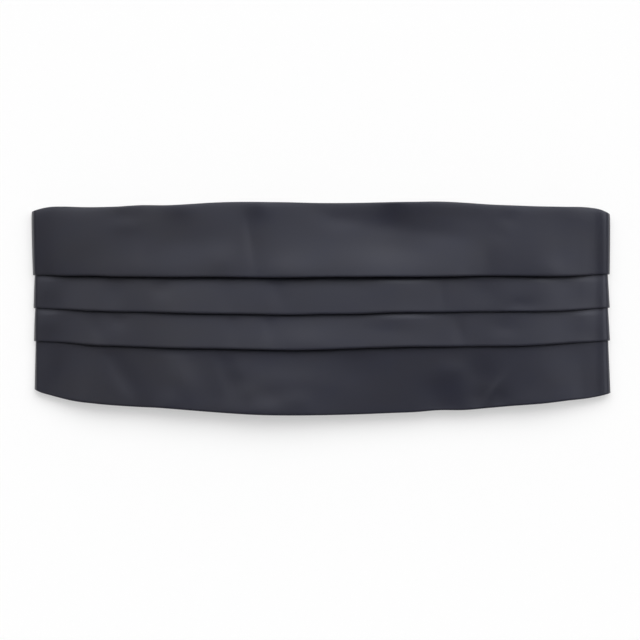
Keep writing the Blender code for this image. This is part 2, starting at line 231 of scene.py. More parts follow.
# Soft ridges and hollows that handling leaves in each cloth: along, height, half length, half width in
# millimetres, turn in degrees, and how high the cloth stands there in millimetres.
SOFT_FORMS = {
    "pleat_top": (
        (24, 13, 68, 24, 0, 2.1), (53, 66, 23, 9, 0, 1.45), (46, 50, 16, 6, 0, -0.3),
        (48, 38, 26, 12, -6, -0.42), (70, 46, 18, 7, -12, -0.25), (-86, 65, 11, 8, 0, 0.5),
        (-38, 64, 8, 8, 0, 0.75), (-41, 40, 4, 22, 8, -0.35), (-110, 44, 5, 14, 0, -0.22),
        (-137, 32, 14, 8, 20, -0.12), (-150, 30, 20, 26, 0, 0.9), (-60, 28, 9, 10, 0, 0.3),
        (-118, 50, 9, 5, 0, 0.22), (101, 20, 7, 18, 0, -0.3), (113, 54, 6, 5, 0, -0.2),
        (138, 26, 24, 28, 0, 0.95), (140, 22, 9, 7, 0, 0.25), (153, 18, 9, 14, 0, -0.25),
        (-152, 65, 17, 8, 0, -0.45), (-119, 64, 8, 7, 0, 0.5), (-84, 60, 9, 7, 0, 0.2),
        (-98, 20, 24, 8, 0, 0.2), (-2, 60, 9, 6, 0, -0.15), (45, 67, 8, 8, 0, 0.8), (92, 65, 20, 9, 0, 0.4),
        (162, 65, 10, 8, 0, -0.45), (60, 51, 13, 6, 0, 0.2), (14, 54, 13, 6, 0, -0.3),
        (-80, 40, 22, 10, 0, -0.3), (108, 45, 6, 6, 0, -0.15), (-20, 21, 15, 9, 0, 0.35),
        (92, 18, 7, 8, 0, -0.2), (50, 55, 11, 8, 0, 0.25), (-110, 24, 18, 8, 0, 0.12),
        (-268, 27, 26, 5, 12, -0.7), (-226, 38, 24, 7, 6, -0.6), (-196, 34, 7, 20, 0, -0.3),
        (251, 30, 30, 5, -10, -0.7), (214, 42, 20, 8, -4, -0.5), (286, 20, 16, 5, -6, -0.5),
    ),
    "pleat_second": (
        (-124, 9, 7, 9, -20, -0.25), (-96, 11, 6, 5, 0, -0.2), (-57, 6, 5, 9, 0, -0.15),
        (-26, 9, 5, 9, 10, -0.25), (50, 15, 18, 9, 0, 0.35), (134, 15, 9, 8, 0, 0.2),
        (74, 7, 3, 8, 0, -0.15), (99, 9, 9, 8, 0, -0.25), (122, 2, 9, 4, 0, -0.2),
        (-166, 12, 8, 9, 0, 0.35), (163, 13, 9, 9, 0, 0.3), (-272, 6, 18, 5, 4, -0.3),
        (-218, 10, 14, 5, 0, 0.3), (243, 8, 26, 5, -4, -0.3),
    ),
    "pleat_third": (
        (-136, -12, 4, 8, 15, -0.25), (-122, -8, 5, 5, 0, -0.2), (-53, -12, 4, 9, 0, -0.2),
        (-31, -12, 4, 8, 0, -0.25), (-8, -22, 16, 8, 0, 0.3), (42, -13, 14, 5, 0, -0.15),
        (50, -6, 18, 9, 0, 0.35), (84, -14, 4, 8, 10, -0.2), (112, -12, 9, 5, 0, -0.2),
        (-166, -8, 8, 9, 0, 0.45), (163, -7, 9, 9, 0, 0.35), (-246, -8, 26, 5, -4, -0.3),
        (268, -8, 18, 5, 3, -0.3), (214, -9, 14, 5, 0, 0.3),
    ),
    "pleat_bottom": (
        (-118, -42, 18, 6, -58, -0.5), (-84, -44, 16, 9, -60, 0.5), (-55, -42, 15, 5, -72, -0.4),
        (-160, -42, 5, 12, 0, -0.3), (-45, -52, 9, 6, 0, 0.3), (-37, -63, 25, 9, 0, 1.15),
        (-26, -46, 30, 9, 0, 0.45), (-90, -58, 7, 8, 0, 0.4), (-15, -56, 9, 6, 0, 0.3),
        (-50, -38, 10, 6, 0, 0.15), (80, -38, 9, 6, 0, 0.3), (-110, -62, 8, 6, 0, -0.2),
        (-168, -50, 7, 9, 0, -0.15), (120, -64, 8, 9, 0, 0.3), (168, -52, 9, 10, 0, -0.15),
        (22, -38, 12, 12, 0, -0.3), (73, -50, 12, 7, 0, -0.35), (75, -60, 12, 9, 0, -0.9),
        (97, -41, 9, 9, 10, -0.6), (96, -54, 7, 7, 0, -0.55), (106, -49, 10, 2.5, 55, 0.35),
        (109, -55, 5, 6, 0, -0.35), (128, -58, 10, 8, 0, 0.3), (140, -42, 12, 14, 0, 0.2),
        (-258, -27, 30, 5, -9, -0.7), (-208, -31, 18, 6, -6, -0.4), (238, -32, 30, 6, 9, -0.7),
        (280, -20, 18, 4, 7, -0.5),
    ),
    "backing": (
        (-84, 18, 26, 9, 14, -0.6), (-52, -30, 22, 8, -10, -0.5), (-12, 34, 18, 9, 6, -0.4),
        (10, -12, 30, 8, 4, -0.6), (58, 24, 20, 8, -12, -0.5), (86, -26, 24, 9, 8, -0.6),
        (118, 6, 8, 24, 0, -0.3),
    ),
}

# How finely the cloth is cut up along the band and across it
SPINE_STEP = 0.5 * MM
FRONT_STEP = 1.5 * MM
ROLL_STEPS = 28
BACK_STEPS = 32
SEAM_STEPS = 8
ACROSS_STEP = 1.0 * MM
FOLD_TURNS = np.radians(np.arange(0.0, 181.0, 20.0))
BACK_POINTS = 6
TURNED_POINTS = len(FOLD_TURNS) + BACK_POINTS
TUCKED_POINTS = 6
BACKING_POINTS = 49
CUT_SAMPLES = 123

# Each pleat's CAD node, and the lines at its upper and its lower edge
PLEATS = (
    ("pleat_top", "top", "fold_1"),
    ("pleat_second", "fold_1", "fold_2"),
    ("pleat_third", "fold_2", "fold_3"),
    ("pleat_bottom", "fold_3", "bottom"),
)


def smooth_step(value):
    """0 below 0, 1 above 1, and a smooth rise between them."""
    clipped = np.clip(value, 0.0, 1.0)
    return clipped * clipped * (3.0 - 2.0 * clipped)


def smooth_table(rows, column, at, overshoot=True):
    """One column of a table in millimetres, on a smooth curve through its rows, at any places in the first
    column. Without overshoot, the curve has its crests and troughs at the table's own."""
    table = np.array(rows, float) * MM
    places, values = table[:, 0], table[:, column]
    slopes = np.gradient(values, places)
    if not overshoot:
        steps = np.diff(values) / np.diff(places)
        steepest = 3 * np.minimum(np.abs(steps[:-1]), np.abs(steps[1:])) * (steps[:-1] * steps[1:] > 0)
        slopes[1:-1] = np.clip(slopes[1:-1], -steepest, steepest)
    row = np.clip(np.searchsorted(places, at) - 1, 0, len(places) - 2)
    step = places[row + 1] - places[row]
    t = (at - places[row]) / step
    start = (1 + 2 * t) * (1 - t) ** 2 * values[row] + t * (1 - t) ** 2 * step * slopes[row]
    end = t * t * (3 - 2 * t) * values[row + 1] + t * t * (t - 1) * step * slopes[row + 1]
    return start + end


def distances(points):
    """The distance to each point along a line of points, or along each row of a grid of them."""
    steps = np.linalg.norm(np.diff(points, axis=-2), axis=-1)
    return np.concatenate([0.0 * steps[..., :1], np.cumsum(steps, axis=-1)], axis=-1)


def eased_path(path, step):
    """A path with its corners cut off again and again until it is smooth, at even steps: the distances
    along it, and its points."""
    line = np.array(path, float)
    for _ in range(EASING_ROUNDS):
        near = (1.0 - EASING_SHARE) * line[:-1] + EASING_SHARE * line[1:]
        far = EASING_SHARE * line[:-1] + (1.0 - EASING_SHARE) * line[1:]
        line = np.concatenate([line[:1], np.stack([near, far], axis=1).reshape(-1, 2), line[-1:]])
    along = distances(line)
    even = np.linspace(0.0, along[-1], int(along[-1] / step) + 1)
    return even, np.stack([np.interp(even, along, line[:, k]) for k in (0, 1)], axis=1)


def make_spine(side):
    """One half of the band seen from its edge: distance along, x, z and heading, and the distances at
    which its fold starts and ends and at which the panel ends."""
    corners = [(x * MM, z * MM) for x, z in PROFILES[side]]
    corners += [(LEVEL_AT_SHARE * corners[-1][0], BACK_Z), (PANEL_END_X, BACK_Z)]
    line = eased_path(corners, SPINE_STEP)[1]
    x, z = line[:, 0], line[:, 1]
    drawn_out = HALF_WIDTH + NOSE_PAST[side] - ROLL_LEVEL - x.max()
    x = x + drawn_out * smooth_step((x - DRAWN_OUT_FROM) / (x.max() - DRAWN_OUT_FROM))
    along = distances(np.stack([x, z], axis=1))
    heading = np.unwrap(np.arctan2(np.gradient(z), np.gradient(x)))
    in_fold = along[x > FOLD_START]
    return {"along": along, "x": x, "z": z, "heading": heading, "roll_start": in_fold[0],
            "roll_end": in_fold[-1], "end": along[-1]}


SPINES = {side: make_spine(side) for side in (LEFT, RIGHT)}


def panel_ends(along):
    """The distance from the band's middle to the panel's end on the side where each place is."""
    return np.where(along < 0, SPINES[LEFT]["end"], SPINES[RIGHT]["end"])


def cut_place(along):
    """The place in the cut of a distance along the band. Both ends of the panel come out at its ends."""
    stretch = (CUT_HALF_LENGTH - CUT_KEPT_TO) / (panel_ends(along) - CUT_KEPT_TO)
    beyond = np.maximum(np.abs(along) - CUT_KEPT_TO, 0.0) * stretch
    return np.sign(along) * (np.minimum(np.abs(along), CUT_KEPT_TO) + beyond)


def cut_line(name, along):
    """Height of one line of the cut at distances along the band."""
    column, place = CUT_COLUMNS.index(name), cut_place(along)
    return smooth_table(CUT, column, place) + smooth_table(WAVER, column, place)


def under_level(along):
    """Layer of the cloth that lies under a folded edge at distances along the band."""
    first, pressed, parting, last = PRESSED_BETWEEN
    share = smooth_step((np.abs(along) - first) / (pressed - first))
    return UNDER_LEVEL - PRESSED_BY * (share - smooth_step((np.abs(along) - parting) / (last - parting)))


def fold_level(name, along):
    """Layer of the crest of a folded edge at distances along the band."""
    stand = smooth_table(FOLD_STANDS[name], 1, cut_place(along), overshoot=False)
    seam = smooth_step((panel_ends(along) - np.abs(along)) / SEAM_PRESS)
    return under_level(along) + stand * (SEAM_SHARE + (1 - SEAM_SHARE) * seam)


def crown(along, height):
    """How far the front stands out at places on the band, against the middle of its height."""
    fade = 1.0 - smooth_step((np.abs(along) - CROWN_FADE[0]) / (CROWN_FADE[1] - CROWN_FADE[0]))
    fall = np.where(height > 0, CROWN_ABOVE, CROWN_BELOW)
    return -fall * fade * (height / CROWN_HALF_HEIGHT) ** 2


def soft_relief(forms, along, height):
    """How far the soft forms make the cloth stand out at places on the band."""
    relief = 0.0 * height
    for form_x, form_y, half_length, half_width, turn, stand in forms:
        cosine, sine = math.cos(math.radians(turn)), math.sin(math.radians(turn))
        across_x, across_y = along - form_x * MM, height - form_y * MM
        u = (across_x * cosine + across_y * sine) / (half_length * MM)
        v = (across_y * cosine - across_x * sine) / (half_width * MM)
        relief = relief + stand * MM * np.exp(-(u * u + v * v))
    return relief


def on_band(along, height, layer):
    """Points at distances along the band, heights on it and layers above its backing, in arrays of one
    shape. Under the band, the cloth lies no lower than what it rests on."""
    out = layer + crown(along, height)
    points = np.zeros(height.shape + (3,))
    distance = np.abs(along)
    for side, spine in SPINES.items():
        x, z, heading = (np.interp(distance, spine["along"], spine[key]) for key in ("x", "z", "heading"))
        held = np.where(heading < -math.pi / 2, np.minimum(out, z - LYING_CLEAR), out)
        x = x - held * np.sin(heading)
        z = z + held * np.cos(heading)
        lean = smooth_step((x - LEAN_FROM) / (FOLD_START - LEAN_FROM))
        x = x + NOSE_LEAN[side] * height / CROWN_HALF_HEIGHT * lean
        here = (along < 0) == (side == LEFT)
        points[here] = np.stack([side * x, height, z], axis=-1)[here]
    return points


def stations():
    """The places along the band, from its left end to its right end, at which sections are made."""
    sides = []
    for side in (LEFT, RIGHT):
        spine = SPINES[side]
        front = np.linspace(0.0, spine["roll_start"], int(spine["roll_start"] / FRONT_STEP) + 1)
        roll = np.linspace(spine["roll_start"], spine["roll_end"], ROLL_STEPS + 1)[1:]
        back = np.linspace(spine["roll_end"], spine["end"] - SEAM_PRESS, BACK_STEPS + 1)[1:]
        seam = np.linspace(spine["end"] - SEAM_PRESS, spine["end"], SEAM_STEPS + 1)[1:]
        sides.append(np.concatenate([front, roll, back, seam]))
    return np.concatenate([-sides[0][:0:-1], sides[1]])[:, None]


def turned_cloth(edge, inward, crest, lowest, length):
    """A folded edge and the cloth turned back from it, which sinks to the lowest layer it can lie on.
    Inward is 1 where the cloth lies above the edge, and -1 where it lies below. It gives heights and
    layers in order from the crest of the fold, and the fold's radius."""
    radius = np.minimum(FOLD_RADIUS, (crest - lowest) / 2)
    centre = edge + inward * radius
    height = centre - inward * radius * np.sin(FOLD_TURNS)
    layer = crest - radius + radius * np.cos(FOLD_TURNS)
    back = np.linspace(0.0, 1.0, BACK_POINTS + 1)[1:]
    height = np.concatenate([height, centre + inward * (length - radius) * back], axis=1)
    layer = np.concatenate([layer, lowest + (crest - 2 * radius - lowest) * (1.0 - back) ** 3], axis=1)
    return height, layer, radius


def pleat_sections(along, upper_line, lower_line, forms):
    """Sections of one pleat, from its hem or its tucked end down its good side and round its lower edge.
    Soft forms never press a folded edge closer than its two layers of cloth."""
    upper, lower = cut_line(upper_line, along), cut_line(lower_line, along)
    level, under = fold_level(lower_line, along), under_level(along)
    lowest = under + SLIP * under / UNDER_LEVEL
    crest = np.maximum(level + soft_relief(forms, along, lower), lowest + 2 * CLOTH)
    overlap = np.minimum(OVERLAP, OVERLAP_SHARE * (upper - lower))
    lower_height, lower_layer, lower_radius = turned_cloth(
        lower, 1, crest, lowest, HEM if lower_line == "bottom" else overlap)
    steps = int(np.max(upper - lower) / ACROSS_STEP)
    share = np.linspace(0.0, 1.0, steps + 1)
    if upper_line == "top":
        hem_level = fold_level(upper_line, along)
        hem_crest = np.maximum(hem_level + soft_relief(forms, along, upper), lowest + 2 * CLOTH)
        hem_height, hem_layer, hem_radius = turned_cloth(upper, -1, hem_crest, lowest, HEM)
        start = upper - hem_radius
        height, layer = hem_height[:, ::-1], hem_layer[:, ::-1]
        eased = HEM_SOFTNESS * (1.0 - np.exp(-share / HEM_SHARE))
        face_layer = hem_level + eased + (level - hem_level - HEM_SOFTNESS) * share**TOP_HOLLOW
        kept = 1.0
    else:
        tucked = np.linspace(1.0, 0.0, TUCKED_POINTS)
        start = upper
        height, layer = upper + overlap * tucked, under + 0.0 * tucked
        rise = share - FACE_HOLLOW * (1.0 - np.exp(-share / FACE_HOLLOW))
        face_layer = under + (level - under) * rise / rise[-1]
        kept = smooth_step(share / FORM_RAMP)
    face = start + (lower + lower_radius - start) * share
    face_layer = face_layer + soft_relief(forms, along, face) * kept
    height = np.concatenate([height, face[:, 1:-1], lower_height], axis=1)
    layer = np.concatenate([layer, face_layer[:, 1:-1], lower_layer], axis=1)
    return height, layer


def backing_sections(along):
    """Sections of the backing, set in from both edges and eased inward over the end of each strap."""
    ease = smooth_step((np.abs(along) - panel_ends(along) + STRAP_SEWN_IN + BACKING_EASE) / BACKING_EASE)
    top, bottom = cut_line("top", along) - BACKING_INSET, cut_line("bottom", along) + BACKING_INSET
    height = top + (bottom - top) * np.linspace(0.0, 1.0, BACKING_POINTS)
    over = 1.0 - smooth_step((np.abs(height) - STRAP_WIDTH / 2 - STRAP_CLEAR) / BACKING_EASE_ACROSS)
    bulge = -(STRAP_THICKNESS + STRAP_ROOM) * ease * over
    return height, bulge + soft_relief(SOFT_FORMS["backing"], along, height)


def linked_object(name, data):
    """An object in the scene."""
    placed = bpy.data.objects.new(name, data)
    bpy.context.scene.collection.objects.link(placed)
    return placed


def new_piece(name, data, material):
    """A piece that rides on the one body and has one material."""
    piece = linked_object(name, data)
    data.materials.append(material)
    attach(piece, "root")
    return piece


def grid_mesh(name, points, uv, closed_across=False):
    """A mesh of quads through a grid of points, with each point's place on the flat cloth as its UV."""
    rows, columns = points.shape[:2]
    index = np.arange(rows * columns).reshape(rows, columns)
    if closed_across:
        index = np.concatenate([index, index[:, :1]], axis=1)
    quads = np.stack([index[:-1, :-1], index[:-1, 1:], index[1:, 1:], index[1:, :-1]], axis=-1)
    mesh = bpy.data.meshes.new(name)
    mesh.from_pydata(points.reshape(-1, 3), [], quads.reshape(-1, 4).tolist())
    layer = mesh.uv_layers.new(name="cloth")
    corners = np.zeros(len(mesh.loops), dtype=np.int32)
    mesh.loops.foreach_get("vertex_index", corners)
    layer.uv.foreach_set("vector", uv.reshape(-1, 2)[corners].astype(np.float32).ravel())
    mesh.shade_smooth()
    return mesh


def sheet_piece(name, sections, along, thickness, material):
    """A cloth piece laid on the band, open surface first and then made as thick as its cloth."""
    height, layer = sections
    places = along + 0.0 * height
    points = on_band(places, height, layer)
    uv = np.stack([places, distances(points)], axis=-1)
    piece = new_piece(name, grid_mesh(name, points, uv), material)
    solid = piece.modifiers.new("cloth", "SOLIDIFY")
    solid.thickness = thickness
    solid.offset = -1.0
    solid.use_even_offset = True
    return piece


def cut_size(upper_line, lower_line, allowances):
    """Flat size of a strip that is cut along two lines with allowances added: (width, length), and area."""
    along = np.linspace(-CUT_HALF_LENGTH, CUT_HALF_LENGTH, CUT_SAMPLES)
    upper, lower = (smooth_table(CUT, CUT_COLUMNS.index(line), along) for line in (upper_line, lower_line))
    width = upper - lower + allowances
    return (float(width.max()), 2 * CUT_HALF_LENGTH), float(width.mean() * 2 * CUT_HALF_LENGTH)


# ------- straps -------

# Elastic tape with ribs along it, round at its edges over a share of its half width
STRAP_WIDTH = 25.0 * MM
STRAP_THICKNESS = 0.9 * MM
STRAP_EDGE_SHARE = 0.015
RIB_PITCH = 1.25 * MM
RIB_HEIGHT = 0.05 * MM
STRAP_POINTS = 141
STRAP_STEP = 0.6 * MM

# The room that the backing gives a strap sewn in at its end, and how it eases to that
STRAP_CLEAR = 0.6 * MM
STRAP_ROOM = 0.5 * MM
BACKING_EASE = 8.0 * MM
BACKING_EASE_ACROSS = 2.5 * MM

# The buckle, where the CAD one is: three bars across the straps, with a slot on each side of the middle one
BUCKLE_LOW, BUCKLE_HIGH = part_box("buckle")
BUCKLE_BAR = 2.0 * MM
BUCKLE_SLOT = 6.4 * MM
BUCKLE_SLOT_LENGTH = 26.4 * MM
BUCKLE_CORNER = 3.0 * MM
SLOT_CORNER = 0.8 * MM
BUCKLE_X = (BUCKLE_LOW.x + BUCKLE_HIGH.x) / 2
BUCKLE_Z = (BUCKLE_LOW.z + BUCKLE_HIGH.z) / 2
BUCKLE_THICKNESS = BUCKLE_HIGH.z - BUCKLE_LOW.z
BUCKLE_BEVEL = 0.3 * MM
END_BAR_X = BUCKLE_X - BUCKLE_BAR - BUCKLE_SLOT

# The straps' courses: the levels of the long one's tail and the short one's lap, and the ways round the bars
ARC_STEP = 10.0
STRAP_SPACING = 1.3 * MM
STRAP_Z = BACK_Z + 0.5 * MM
TAIL_Z = STRAP_Z + STRAP_SPACING
LAP_Z = STRAP_Z - STRAP_SPACING
TAIL_LENGTH = 32.0 * MM
LAP_LENGTH = 20.0 * MM
LAP_RAMP = 5.0 * MM
BAR_REACH = 0.8 * MM
SLOT_CLEAR = 1.0 * MM
STRAP_BEND = 2.0 * MM

# Stitches: two rows across each end of the panel, slip stitches along the backing, and rows across the
# straps. Each arches up from the cloth and thins to a share of its thickness where it enters it.
THREAD_RADIUS = 0.13 * MM
STITCH_LENGTH = 2.2 * MM
STITCH_PITCH = 3.0 * MM
STITCH_SPOTS = 6
STITCH_SIDES = 6
STITCH_ARCH = 0.9 * THREAD_RADIUS
STITCH_SUNK = 0.5 * THREAD_RADIUS
STITCH_END_SHARE = 0.4
TOPSTITCH_INSETS = (2.5 * MM, 5.5 * MM)
SLIP_STITCH_PITCH = 5.0 * MM
SLIP_STITCH_REACH = 0.8 * MM
SLIP_STITCH_SLANT = 1.2 * MM
SLIP_STITCH_FROM_END = 9.0 * MM
TAIL_ROW_INSET = 3.0 * MM
LAP_ROW_INSETS = (4.0 * MM, 12.0 * MM)
STRAP_ROW_FROM_EDGE = 2.0 * MM
DOWN = np.array([0.0, 0.0, -1.0])
UP = np.array([0.0, 0.0, 1.0])


def round_bar(bar_x, first, last):
    """Points of a strap's middle round the corners of one of the buckle's bars, between two angles."""
    points = []
    for turn in np.arange(first, last - ARC_STEP / 2, -ARC_STEP):
        across, up = math.cos(math.radians(turn)), math.sin(math.radians(turn))
        corner_x = bar_x + math.copysign(BUCKLE_BAR / 2, across)
        corner_z = BUCKLE_Z + math.copysign(BUCKLE_THICKNESS / 2, up)
        points.append((corner_x + BAR_REACH * across, corner_z + BAR_REACH * up))
    return points


def long_strap_path():
    """From inside the panel's right end, through the buckle under its middle bar, and up to a free tail."""
    in_slot = BUCKLE_BAR / 2 + BUCKLE_SLOT - SLOT_CLEAR
    path = [(PANEL_END_X + STRAP_SEWN_IN, STRAP_Z), (PANEL_END_X, STRAP_Z)]
    path += [(BUCKLE_X + in_slot + STRAP_BEND, STRAP_Z), (BUCKLE_X + in_slot, STRAP_Z)]
    path += round_bar(BUCKLE_X, -55.0, -125.0)
    path += [(BUCKLE_X - in_slot + STRAP_BEND, TAIL_Z), (BUCKLE_X - in_slot - STRAP_BEND, TAIL_Z)]
    path += [(BUCKLE_X - in_slot - TAIL_LENGTH, TAIL_Z)]
    return path


def short_strap_path():
    """From inside the panel's left end, round the buckle's end bar and back to lie under itself."""
    path = [(-PANEL_END_X - STRAP_SEWN_IN, STRAP_Z), (-PANEL_END_X, STRAP_Z)]
    path += round_bar(END_BAR_X, 85.0, -95.0)
    lap_x = END_BAR_X - BUCKLE_BAR / 2 - LAP_RAMP
    path += [(lap_x, LAP_Z), (lap_x - LAP_LENGTH, LAP_Z)]
    return path


def strap_piece(name, path, material):
    """An elastic tape with fine ribs along it, following a path of (x, z) points. It gives the piece and
    the tape's length."""
    along, line = eased_path(path, STRAP_STEP)
    heading = np.arctan2(np.gradient(line[:, 1]), np.gradient(line[:, 0]))
    side = np.linspace(-1.0, 1.0, STRAP_POINTS)
    into_edge = np.clip((np.abs(side) - 1.0 + STRAP_EDGE_SHARE) / STRAP_EDGE_SHARE, 0.0, 1.0)
    edge = np.sqrt(1.0 - into_edge**2)
    half = STRAP_THICKNESS / 2 * edge
    half = half + RIB_HEIGHT * (np.cos(side * STRAP_WIDTH * math.pi / RIB_PITCH) - 1.0) * edge
    width = np.concatenate([side, side[-2:0:-1]]) * STRAP_WIDTH / 2
    out = np.concatenate([half, -half[-2:0:-1]])
    points = np.empty((len(line), len(width), 3))
    points[:, :, 0] = line[:, :1] - np.sin(heading)[:, None] * out
    points[:, :, 1] = width
    points[:, :, 2] = line[:, 1:] + np.cos(heading)[:, None] * out
    uv = np.stack(np.broadcast_arrays(along[:, None], width), axis=-1)
    mesh = grid_mesh(name, points, uv, closed_across=True)
    piece = new_piece(name, mesh, material)
    close_ends(mesh, len(width))
    return piece, float(along[-1])


def close_ends(mesh, columns):
    """Closes both ends of a tube of so many columns with one face each."""
    tube = bmesh.new()
    tube.from_mesh(mesh)
    tube.verts.ensure_lookup_table()
    count = len(tube.verts)
    tube.faces.new([tube.verts[i] for i in range(columns)])
    tube.faces.new([tube.verts[count - 1 - i] for i in range(columns)])
    bmesh.ops.recalc_face_normals(tube, faces=tube.faces)
    tube.to_mesh(mesh)
    tube.free()
    mesh.shade_smooth()


def stitch_piece(name, first, last, out, material):
    """Threads that lie on the cloth between pairs of points, with their ends sunk into it. Out is the way
    that the cloth faces there."""
    run = last - first
    run = run / np.linalg.norm(run, axis=1)[:, None]
    side = np.cross(run, out)
    side = side / np.linalg.norm(side, axis=1)[:, None]
    up = np.cross(side, run)
    spot = np.linspace(0.0, 1.0, STITCH_SPOTS)[None, :, None, None]
    arch = np.sin(math.pi * spot)
    turn = np.linspace(0.0, 2 * math.pi, STITCH_SIDES, endpoint=False)[None, None, :, None]
    first, last, side, up = (part[:, None, None, :] for part in (first, last, side, up))
    middle = first + (last - first) * spot + up * (STITCH_ARCH * arch - STITCH_SUNK)
    radius = THREAD_RADIUS * (STITCH_END_SHARE + (1.0 - STITCH_END_SHARE) * arch)
    points = middle + radius * (side * np.cos(turn) + up * np.sin(turn))
    index = np.arange(points.size // 3).reshape(points.shape[:3])
    ring = np.concatenate([index, index[:, :, :1]], axis=2)
    quads = np.stack([ring[:, :-1, :-1], ring[:, 1:, :-1], ring[:, 1:, 1:], ring[:, :-1, 1:]], axis=-1)
    caps = np.concatenate([index[:, 0], index[:, -1, ::-1]])
    mesh = bpy.data.meshes.new(name)
    mesh.from_pydata(points.reshape(-1, 3), [], quads.reshape(-1, 4).tolist() + caps.tolist())
    mesh.shade_smooth()
    return new_piece(name, mesh, material)


def cut_row(points):
    """Both ends of each stitch in a row along a line of points."""
    along = distances(points)
    starts = np.arange(STITCH_PITCH - STITCH_LENGTH, along[-1] - STITCH_LENGTH, STITCH_PITCH)
    return [np.stack([np.interp(place, along, points[:, k]) for k in range(3)], axis=1)
            for place in (starts, starts + STITCH_LENGTH)]


def joined(rows):
    """Rows of stitches as one pair of arrays."""
    return [np.concatenate(part) for part in zip(*rows)]


def end_rows(section_at):
    """The rows across both ends of the panel. A function gives the surface's heights and layers at a place
    along the band."""
    rows = []
    for side in (LEFT, RIGHT):
        for inset in TOPSTITCH_INSETS:
            along = np.array([[side * (SPINES[side]["end"] - inset)]])
            height, layer = section_at(along)
            rows.append(cut_row(on_band(along + 0.0 * height, height, layer)[0]))
    return joined(rows)


def pleat_topstitch(upper_line, lower_line, forms):
    """The rows across both ends of the panel, where they cross the face of one pleat."""
    def face_at(along):
        height, layer = pleat_sections(along, upper_line, lower_line, forms)
        skipped = TURNED_POINTS if upper_line == "top" else TUCKED_POINTS
        return height[:, skipped:-TURNED_POINTS], layer[:, skipped:-TURNED_POINTS]
    return end_rows(face_at)


def backing_topstitch():
    """The other side of the same rows, on the backing."""
    def inside_at(along):
        height, layer = backing_sections(along)
        return height, layer - BACKING_CLOTH
    return end_rows(inside_at)


def slip_stitches(upper_line, lower_line, edge, inward):
    """Short stitches from the backing's edge over to the hem that it is sewn to. Inward is the way from the
    edge to the middle of the band."""
    ends = [spine["end"] - SLIP_STITCH_FROM_END for spine in (SPINES[LEFT], SPINES[RIGHT])]
    along = np.arange(-ends[0], ends[1], SLIP_STITCH_PITCH)[:, None]
    height, layer = pleat_sections(along, upper_line, lower_line, SOFT_FORMS["pleat_" + edge])
    back = slice(0, BACK_POINTS + 1) if edge == "top" else slice(-BACK_POINTS - 1, None)
    lining_edge = cut_line(edge, along) + inward * BACKING_INSET
    caught = lining_edge - inward * SLIP_STITCH_REACH
    hem_layer = np.stack([np.interp(*row) for row in zip(caught, height[:, back], layer[:, back])])
    on_lining = on_band(along, lining_edge + inward * SLIP_STITCH_REACH, 0.0 * along - BACKING_CLOTH)
    on_hem = on_band(along + SLIP_STITCH_SLANT, caught, hem_layer)
    return on_lining[:, 0], on_hem[:, 0]


def strap_row(x, z):
    """A row across a strap, at one place along it and one level."""
    reach = STRAP_WIDTH / 2 - STRAP_ROW_FROM_EDGE
    return cut_row(np.array([(x, -reach, z), (x, reach, z)]))


def rounded_rectangle(curve, centre_x, length, width, corner):
    """Adds a closed outline with round corners to a 2D curve: length along X and width along Y."""
    corners = ((1, 1, 0.0), (-1, 1, 90.0), (-1, -1, 180.0), (1, -1, 270.0))
    points = []
    for side_x, side_y, start in corners:
        for turn in np.arange(0.0, 90.0 + ARC_STEP / 2, ARC_STEP):
            angle = math.radians(start + turn)
            x = centre_x + side_x * (length / 2 - corner) + corner * math.cos(angle)
            y = side_y * (width / 2 - corner) + corner * math.sin(angle)
            points.append((x, y))
    outline = curve.splines.new("POLY")
    outline.points.add(len(points) - 1)
    for point, (x, y) in zip(outline.points, points):
        point.co = (x, y, 0.0, 1.0)
    outline.use_cyclic_u = True


def buckle_piece(material):
    """A flat frame of three bars with rounded edges, where the CAD buckle is."""
    curve = bpy.data.curves.new("buckle_frame", "CURVE")
    curve.dimensions = "2D"
    curve.fill_mode = "BOTH"
    curve.extrude = BUCKLE_THICKNESS / 2 - BUCKLE_BEVEL
    curve.bevel_depth = BUCKLE_BEVEL
    curve.bevel_resolution = 3
    curve.offset = -BUCKLE_BEVEL
    slot_place = (BUCKLE_BAR + BUCKLE_SLOT) / 2
    length = BUCKLE_HIGH.x - BUCKLE_LOW.x
    rounded_rectangle(curve, 0.0, length, BUCKLE_HIGH.y - BUCKLE_LOW.y, BUCKLE_CORNER)
    rounded_rectangle(curve, -slot_place, BUCKLE_SLOT, BUCKLE_SLOT_LENGTH, SLOT_CORNER)
    rounded_rectangle(curve, slot_place, BUCKLE_SLOT, BUCKLE_SLOT_LENGTH, SLOT_CORNER)
    shape = linked_object("buckle_shape", curve)
    shape.location = (BUCKLE_X, 0.0, BUCKLE_Z)
    bpy.context.view_layer.update()
    mesh = bpy.data.meshes.new_from_object(shape.evaluated_get(bpy.context.evaluated_depsgraph_get()))
    mesh.transform(shape.matrix_world)
    mesh.materials.clear()
    bpy.data.objects.remove(shape)
    return new_piece("buckle_frame", mesh, material)


# ------- materials -------

